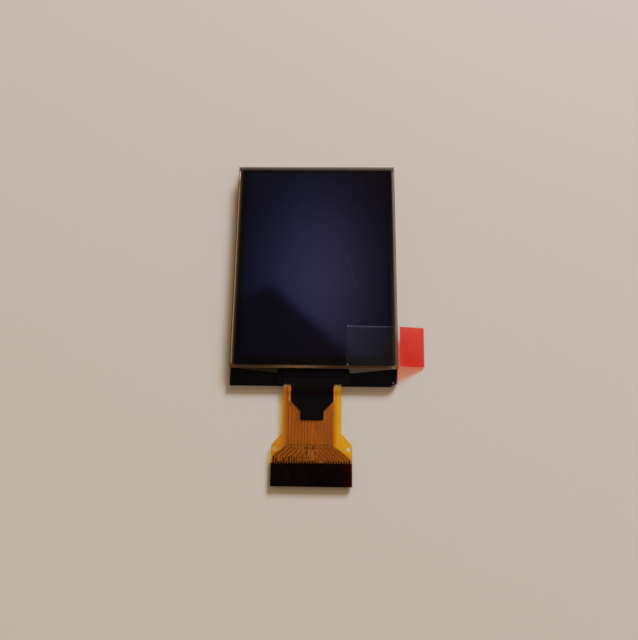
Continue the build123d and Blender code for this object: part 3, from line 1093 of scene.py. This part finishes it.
@dataclass(frozen=True)
class Pieces:
    """Makes new pieces and dresses the frame's own."""

    gap: float = 0.002
    merge: float = 0.0001
    flat: float = 0.5
    sharp: float = 35.0

    def dress(self, node: str, finish: Finish) -> bpy.types.Object:
        """Gives one of the frame's own parts a finish.

        Args:
            node: The part's name.
            finish: Its finish.

        Returns:
            The part's object.
        """
        piece = finish.put_on(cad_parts[node])
        log.info("dressed %s with %s", node, finish.title)
        return piece

    def add(self, name: str, bm: bmesh.types.BMesh, finish: Finish, smooth: bool = False) -> bpy.types.Object:
        """Makes a piece of a finished bmesh and lets it ride on the panel.

        Args:
            name: The piece's name.
            bm: Its shape, which is freed.
            finish: Its finish.
            smooth: Whether its faces are shaded smooth.

        Returns:
            The piece.
        """
        mesh = bpy.data.meshes.new(name)
        bm.to_mesh(mesh)
        bm.free()
        mesh.polygons.foreach_set("use_smooth", [smooth] * len(mesh.polygons))
        piece = bpy.data.objects.new(name, mesh)
        bpy.context.scene.collection.objects.link(piece)
        finish.put_on(piece)
        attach(piece, BODY)
        log.info("made %s of %d faces", name, len(mesh.polygons))
        return piece

    def copy_of(self, node: str, corner: Corner = Corner.SHARP, width: float = 0.0) -> bmesh.types.BMesh:
        """A copy of a part's solid, merged, its edges broken, and set in so that it touches nothing.

        Args:
            node: The part's name.
            corner: How its sharp edges are finished.
            width: How wide that finish is, in millimetres.

        Returns:
            The shape.
        """
        bm = bmesh.new()
        bm.from_mesh(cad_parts[node].data)
        bmesh.ops.remove_doubles(bm, verts=bm.verts, dist=self.merge * MM)
        bmesh.ops.dissolve_limit(
            bm,
            angle_limit=math.radians(self.flat),
            use_dissolve_boundaries=False,
            verts=bm.verts,
            edges=bm.edges,
        )
        bmesh.ops.recalc_face_normals(bm, faces=bm.faces)
        if corner is not Corner.SHARP:
            limit = math.radians(self.sharp)
            edges = [e for e in bm.edges if e.is_manifold and e.calc_face_angle(0.0) > limit]
            bmesh.ops.bevel(
                bm, geom=edges, offset=width * MM, offset_type="OFFSET", segments=corner.value, profile=0.5,
                affect="EDGES", clamp_overlap=True, material=-1,
            )
        bm.normal_update()
        steps = [(v, v.normal * (v.calc_shell_factor() * self.gap * MM)) for v in bm.verts]
        for vertex, step in steps:
            vertex.co -= step
        return bm

    def stand_in(self, node: str, name: str, finish: Finish, corner: Corner = Corner.SHARP,
                 width: float = 0.0) -> bpy.types.Object:
        """A finer piece in the place of one of the frame's parts.

        Args:
            node: The part that it replaces.
            name: The piece's name.
            finish: Its finish.
            corner: How its sharp edges are finished.
            width: How wide that finish is, in millimetres.

        Returns:
            The piece.
        """
        piece = self.add(name, self.copy_of(node, corner, width), finish)
        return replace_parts(piece, node)


@dataclass
class CellStack:
    """The two glasses, the cell between them and the film behind."""

    arris: float = 0.05
    pieces: Pieces = field(default_factory=Pieces)

    def build(self) -> None:
        """Makes the glasses and dresses the layers between and behind them."""
        front = ClearSheet("front glass", "cell_glass")
        rear = ClearSheet(
            "rear glass on black film", "cell_glass", tint=(0.92, 0.91, 0.90), edge_tint=(0.30, 0.25, 0.18),
            refraction=1.26, over_black=True,
        )
        lit = CellLayers("lit area", "cell_layers", (0.012, 0.010, 0.035), (0.004, 0.004, 0.010), 0.165)
        drivers = CellLayers("row drivers", "row_drivers", (0.006, 0.005, 0.006), (0.015, 0.012, 0.010), 0.33)
        backing = Matt(
            "black backing film", "black_film", (0.0016, 0.0016, 0.0038), (0.0034, 0.0036, 0.0066),
            rough=0.6, shine=0.02,
        )
        self.pieces.stand_in("front_glass", "front_glass_plate", front, Corner.ARRIS, self.arris)
        self.pieces.stand_in("tft_glass", "rear_glass_plate", rear, Corner.ARRIS, self.arris)
        self.pieces.dress("frit_seal", Seal(*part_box("frit_seal")))
        self.pieces.dress("pixel_array", lit)
        self.pieces.dress("border_circuit", drivers)
        self.pieces.dress("rear_film", backing)


@dataclass
class ScreenFilms:
    """The polariser, the film that protects it, and that film's pull tab."""

    pieces: Pieces = field(default_factory=Pieces)

    def build(self) -> None:
        """Makes the films from the back to the front."""
        lit_low, lit_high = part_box("pixel_array")
        low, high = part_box("polariser")
        self.pieces.stand_in("polariser", "polariser_sheet", Polariser(lit_low, lit_high, low, high))
        film = ClearSheet(
            "clear protective film", "clear_film", tint=(0.985, 0.985, 0.985), edge_tint=(0.7, 0.7, 0.72),
            edge_rough=0.2, smudge=0.03,
        )
        self.pieces.stand_in("protective_film", "protective_film_sheet", film)
        low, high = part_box("pull_tab_tape")
        self.pieces.stand_in("pull_tab_tape", "pull_tab_tape_sheet", TabTape(low, high))
        self.pieces.stand_in("pull_tab_grip", "pull_tab_grip_sheet", RedFilm())


@dataclass
class Ledge:
    """The driver ledge: chip, bonds, conductors, marks, black tape and sealant."""

    drape_step: float = 0.15
    drape_rounds: int = 60
    hold: float = 0.09
    upper_ease: float = 0.45
    drape_factor: float = 0.5
    facing_up: float = 0.5
    upright: float = 0.1
    bead_length: float = 1.34
    lumpiness: float = 0.45
    lump_size: float = 2.6
    lump_shift: float = 7.0
    pieces: Pieces = field(default_factory=Pieces)

    def build(self) -> None:
        """Dresses the ledge's parts and lays the tape over them."""
        # Both metals are darker toward the left as painted shade.
        metal = Metal(
            "thin conductor metal", "thin_metal", (0.40, 0.33, 0.27), (0.55, 0.46, 0.38), 0.38, painted_shade_left=0.72
        )
        marks = Metal("mark metal", "thin_metal", (0.62, 0.54, 0.45), (0.75, 0.66, 0.56), 0.42, painted_shade_left=0.97)
        silicon = Matt(
            "bare silicon", "silicon", (0.05, 0.05, 0.06), (0.09, 0.09, 0.10),
            rough=0.2, shine=0.6, grain=0.2, depth=0.0005,
        )
        bond = Matt("bonding film", "bond_film", (0.30, 0.27, 0.20), (0.42, 0.38, 0.28))
        for node in ("fanout_traces", "bond_pads"):
            self.pieces.dress(node, metal)
        self.pieces.dress("alignment_marks", marks)
        self.pieces.dress("driver_chip", silicon)
        for node in ("chip_bond_film", "flex_bond_film"):
            self.pieces.dress(node, bond)
        self._tape()
        self._beads()

    def _tape(self) -> None:
        """Lays the tape taut between the chip, the flex and its own outline, in place of its plain folds."""
        bm = self.pieces.copy_of("shield_tape")
        low, high = (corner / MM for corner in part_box("shield_tape"))
        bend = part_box("edge_sealant")[0].y / MM
        count_x = round((high.x - low.x) / self.drape_step)
        count_y = round((high.y - bend) / self.drape_step)
        cuts = [((low.x + (i + 0.5) * self.drape_step, 0.0, 0.0), (1.0, 0.0, 0.0)) for i in range(count_x)]
        cuts += [((0.0, high.y - (i + 0.5) * self.drape_step, 0.0), (0.0, 1.0, 0.0)) for i in range(count_y)]
        for place, way in cuts:
            every = bm.verts[:] + bm.edges[:] + bm.faces[:]
            bmesh.ops.bisect_plane(bm, geom=every, plane_co=Vector(place) * MM, plane_no=way)
        bm.normal_update()
        walls = {v for f in bm.faces if abs(f.normal.z) < self.upright for v in f.verts}
        held = [[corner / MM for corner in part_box(node)] for node in ("driver_chip", "flex_cover_film")]
        free = [v for v in bm.verts if v not in walls and v.co.y / MM > bend
                and not any(self._over(v.co / MM, box, v.normal.z > self.facing_up) for box in held)]
        for _ in range(self.drape_rounds):
            bmesh.ops.smooth_vert(bm, verts=free, factor=self.drape_factor, use_axis_z=True)
        tape = self.pieces.add("black_tape_sheet", bm, BlackTape(), smooth=True)
        tape.data.set_sharp_from_angle(angle=math.radians(self.pieces.sharp))
        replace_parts(tape, "shield_tape")

    def _over(self, place: Vector, box: Sequence[Vector], upper: bool) -> bool:
        """Whether a place on the tape is held by a part under it.

        Args:
            place: The place, in millimetres.
            box: The part's lowest and highest corners.
            upper: Whether the place is on the tape's upper side, which is held well inside the box only.

        Returns:
            True where it is held.
        """
        low, high = box
        ease = -self.upper_ease if upper else self.hold
        return low.x - ease < place.x < high.x + ease and low.y - ease < place.y < high.y + ease

    def _beads(self) -> None:
        """Makes the two beads of sealant, each an uneven drop that is longer than wide."""
        low, high = (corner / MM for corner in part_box("edge_sealant"))
        bm = bmesh.new()
        for side in (-1, 1):
            end = low.x if side < 0 else high.x
            drop = bmesh.ops.create_icosphere(bm, subdivisions=5, radius=1.0)["verts"]
            shift = Vector((self.lump_shift * side, 0.0, 0.0))
            for vertex in drop:
                vertex.co *= 1.0 + self.lumpiness * noise.noise(vertex.co * self.lump_size + shift)
            half = Vector((self.bead_length / 2, (high.y - low.y) / 2, high.z - low.z))
            half *= 1 - self.lumpiness / 2
            bmesh.ops.scale(bm, vec=half * MM, verts=drop)
            middle = Vector((end - side * self.bead_length / 2, (high.y + low.y) / 2, low.z))
            bmesh.ops.translate(bm, vec=middle * MM, verts=drop)
        every = bm.verts[:] + bm.edges[:] + bm.faces[:]
        floor = Vector((0.0, 0.0, (low.z + self.pieces.gap) * MM))
        bmesh.ops.bisect_plane(bm, geom=every, plane_co=floor, plane_no=(0.0, 0.0, 1.0), clear_inner=True)
        rims = [e for e in bm.edges if e.is_boundary]
        bmesh.ops.holes_fill(bm, edges=rims, sides=0)
        beads = self.pieces.add("edge_sealant_beads", bm, Sealant(), smooth=True)
        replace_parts(beads, "edge_sealant")


@dataclass
class FlexCircuit:
    """The flexible circuit from the ledge to the contacts."""

    pale: Colour = (0.995, 0.90, 0.45)
    deep: Colour = (0.985, 0.82, 0.33)
    lets_in: Colour = (0.91, 0.82, 0.38)
    row_span: Pair = (-4.9, 3.8)
    rows_up: Pair = (2.75, 3.35)
    low_holes: int = 8
    low_start: float = -3.95
    low_pitch: float = 0.5
    low_up: float = 1.05
    low_reach: float = 0.24
    wide_places: Pair = (-1.12, 0.15)
    wide_up: float = 2.85
    wide_reach: float = 0.50
    column_places: Pair = (-1.15, 0.55)
    column_ups: tuple[float, float, float] = (2.15, 1.90, 1.65)
    column_reach: float = 0.30
    pieces: Pieces = field(default_factory=Pieces)

    def build(self) -> None:
        """Makes the films and dresses the copper between them."""
        cover_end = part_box("flex_cover_film")[0].y / MM
        self._films(cover_end)
        self._copper(cover_end)
        ink = Matt(
            "black ink", "black_ink", (0.004, 0.004, 0.004), (0.010, 0.009, 0.009), rough=0.6, shine=0.2
        )
        self.pieces.dress("pin_one_mark", ink)

    def _films(self, cover_end: float) -> None:
        """Makes the amber films and the stiffener.

        Args:
            cover_end: Where along y the upper cover film ends, in millimetres.
        """
        amber = ("amber_film", self.pale, self.deep, self.lets_in)
        brown = (0.66, 0.26, 0.08)
        films = {
            "flex_cover_film": RimHighlightFilm("amber upper cover film", *amber),
            "flex_rear_cover_film": AmberFilm("amber lower cover film", *amber, reddened=0.9),
            "flex_base": AmberFilm("amber base film", *amber, cloudy=0.40, bare_end=cover_end),
            "tail_stiffener": Stiffener(
                "stiffener film", "stiffener_film", brown, brown, (0.10, 0.02, 0.01), bare_end=cover_end
            ),
        }
        for node, film in films.items():
            self.pieces.stand_in(node, f"{node}_sheet", film)

    def _copper(self, cover_end: float) -> None:
        """Dresses the conductors, the plated holes and the contacts.

        Args:
            cover_end: Where along y the upper cover film ends, in millimetres.
        """
        crossing = tuple((cover_end + up, *self.row_span) for up in self.rows_up)
        low_places = (self.low_start + self.low_pitch * i for i in range(self.low_holes))
        low = ((x, self.low_up, self.low_reach) for x in low_places)
        wide = ((x, self.wide_up, self.wide_reach) for x in self.wide_places)
        column = ((x, up, self.column_reach) for x in self.column_places for up in self.column_ups)
        holes = tuple((x, cover_end + up, reach) for x, up, reach in (*low, *wide, *column))
        front = FanCopper(
            "copper foil", "copper", (0.72, 0.25, 0.115), (0.54, 0.17, 0.08), 0.42,
            rows=crossing, row_share=0.45, holes=holes,
        )
        # The rear copper's darker fan is painted shade, like its shaded colour.
        rear = Metal(
            "shaded rear copper", "copper", (0.29, 0.072, 0.034), (0.21, 0.048, 0.023), 0.5,
            rows=crossing, fan_shade_share=0.8,
        )
        plated = Metal("plated holes", "copper", (0.10, 0.04, 0.02), (0.05, 0.02, 0.01), 0.5)
        contacts = Metal(
            "dark contact plating", "contact_plating", (0.016, 0.0105, 0.0095), (0.021, 0.014, 0.0125), 0.32,
            stretch=(1.0, 12.0, 1.0), grain=0.5, bump=0.0,
        )
        self.pieces.dress("flex_traces", front)
        self.pieces.dress("flex_rear_traces", rear)
        self.pieces.dress("vias", plated)
        self.pieces.dress("contact_fingers", contacts)


@dataclass
class Studio:
    """The camera, the floor and the light."""

    camera_place: tuple[float, float, float] = (2.460, -27.615, 89.641)
    camera_turn: tuple[float, float, float] = (11.1693, 0.8431, 0.6862)
    focal_pixels: float = 450.0
    frame_pixels: float = 640.0
    sensor: float = 36.0
    clip: Pair = (0.001, 10.0)
    floor_size: float = 8.0
    floor_drop: float = 0.02
    key_way: tuple[float, float, float] = (0.44, 0.90, 0.285)
    key_distance: float = 2.0
    key_width: float = 0.85
    key_height: float = 0.36
    key_watts: float = 88.0
    key_colour: Colour = (0.86, 0.993, 1.18)
    side_level: float = 0.90
    side_span: Pair = (0.55, 0.90)
    near_side: float = 0.25
    near_span: Pair = (-0.7, 0.7)
    side_colour: Colour = (1.34, 1.0, 0.57)
    top_colour: Colour = (1.42, 1.12, 0.84)
    glow_colour: Colour = (1.02, 0.99, 1.02)
    top_level: float = 0.05
    glow_level: float = 0.45
    glow_place: Pair = (-0.02, 0.29)
    glow_spread: Pair = (0.09, 0.15)
    glow_low: Pair = (0.0, 0.4)
    glow_tone: Pair = (0.02, 0.22)
    least_height: float = 0.05
    flag_edges: tuple[tuple[float, float, float], ...] = ((-0.097, 0.262, -0.873), (-0.127, 0.30, 0.70))
    flag_soft: Pair = (-0.015, 0.035)
    flag_share: float = 0.9

    def build(self) -> None:
        """Makes the camera, the floor, the lamp and the soft light all round."""
        self._camera()
        self._floor()
        self._key()
        self._surround()

    def _camera(self) -> None:
        """Puts the camera where the photograph was taken from."""
        data = bpy.data.cameras.new("camera")
        data.sensor_width = self.sensor
        data.lens = self.sensor * self.focal_pixels / self.frame_pixels
        data.clip_start, data.clip_end = self.clip
        camera = bpy.data.objects.new("camera", data)
        camera.location = Vector(self.camera_place) * MM
        camera.rotation_euler = tuple(math.radians(a) for a in self.camera_turn)
        bpy.context.scene.collection.objects.link(camera)
        bpy.context.scene.camera = camera

    def _floor(self) -> None:
        """Lays a plain floor just under the panel."""
        bm = bmesh.new()
        bmesh.ops.create_grid(bm, x_segments=1, y_segments=1, size=self.floor_size / 2)
        bmesh.ops.translate(bm, verts=bm.verts, vec=(0.0, 0.0, -self.floor_drop * MM))
        mesh = bpy.data.meshes.new("floor")
        bm.to_mesh(mesh)
        bm.free()
        floor = bpy.data.objects.new("floor", mesh)
        bpy.context.scene.collection.objects.link(floor)
        Floor().put_on(floor)

    def _key(self) -> None:
        """Hangs one wide soft lamp low beyond the panel's far right corner."""
        data = bpy.data.lights.new("soft lamp", "AREA")
        data.shape = "RECTANGLE"
        data.size = self.key_width
        data.size_y = self.key_height
        data.energy = self.key_watts
        data.color = self.key_colour
        lamp = bpy.data.objects.new("soft lamp", data)
        way = Vector(self.key_way).normalized()
        lamp.location = way * self.key_distance
        lamp.rotation_euler = (-way).to_track_quat("-Z", "Y").to_euler()
        bpy.context.scene.collection.objects.link(lamp)

    def _surround(self) -> None:
        """Gives soft light all round, dark straight above, with one glow whose slanted corner is dark.

        The screen shows that glow. Places in it are measured on a level plane one unit above the panel.
        """
        world = bpy.data.worlds.new("surround")
        bpy.context.scene.world = world
        world.use_nodes = True
        graph = Graph(world.node_tree)
        x, y, z = graph.split(graph.add("ShaderNodeTexCoord").outputs["Generated"])
        height = z.most(self.least_height)
        across, along = x / height, y / height
        off_x, off_y = (
            (way - middle) / spread
            for way, middle, spread in zip((across, along), self.glow_place, self.glow_spread)
        )
        glow = ((off_x * off_x + off_y * off_y) * -0.5).power_of_e()
        right, left = (
            ((across - place) * slope + top - along).rise(*self.flag_soft)
            for place, top, slope in self.flag_edges
        )
        soft = glow * z.rise(*self.glow_low) * (1 - right * left * self.flag_share)
        side = z.fall(*self.side_span)
        far = (x * self.key_way[0] + y * self.key_way[1]).rise(*self.near_span, self.near_side, 1.0)
        level = self.top_level + soft * self.glow_level + side * far * (self.side_level - self.top_level)
        colour = graph.mix(soft.rise(*self.glow_tone), self.top_colour, self.glow_colour)
        colour = graph.mix(side, colour, self.side_colour)
        background = graph.add("ShaderNodeBackground", values={"Color": colour, "Strength": level})
        graph.close(background.outputs[0], "ShaderNodeOutputWorld")


def main() -> None:
    """Builds every sub-assembly and the studio."""
    logging.basicConfig(level=logging.INFO, format="%(name)s: %(message)s")
    bpy.context.scene.view_settings.view_transform = "Standard"
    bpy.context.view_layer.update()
    CellStack().build()
    ScreenFilms().build()
    Ledge().build()
    FlexCircuit().build()
    Studio().build()


if __name__ == "__main__":
    main()
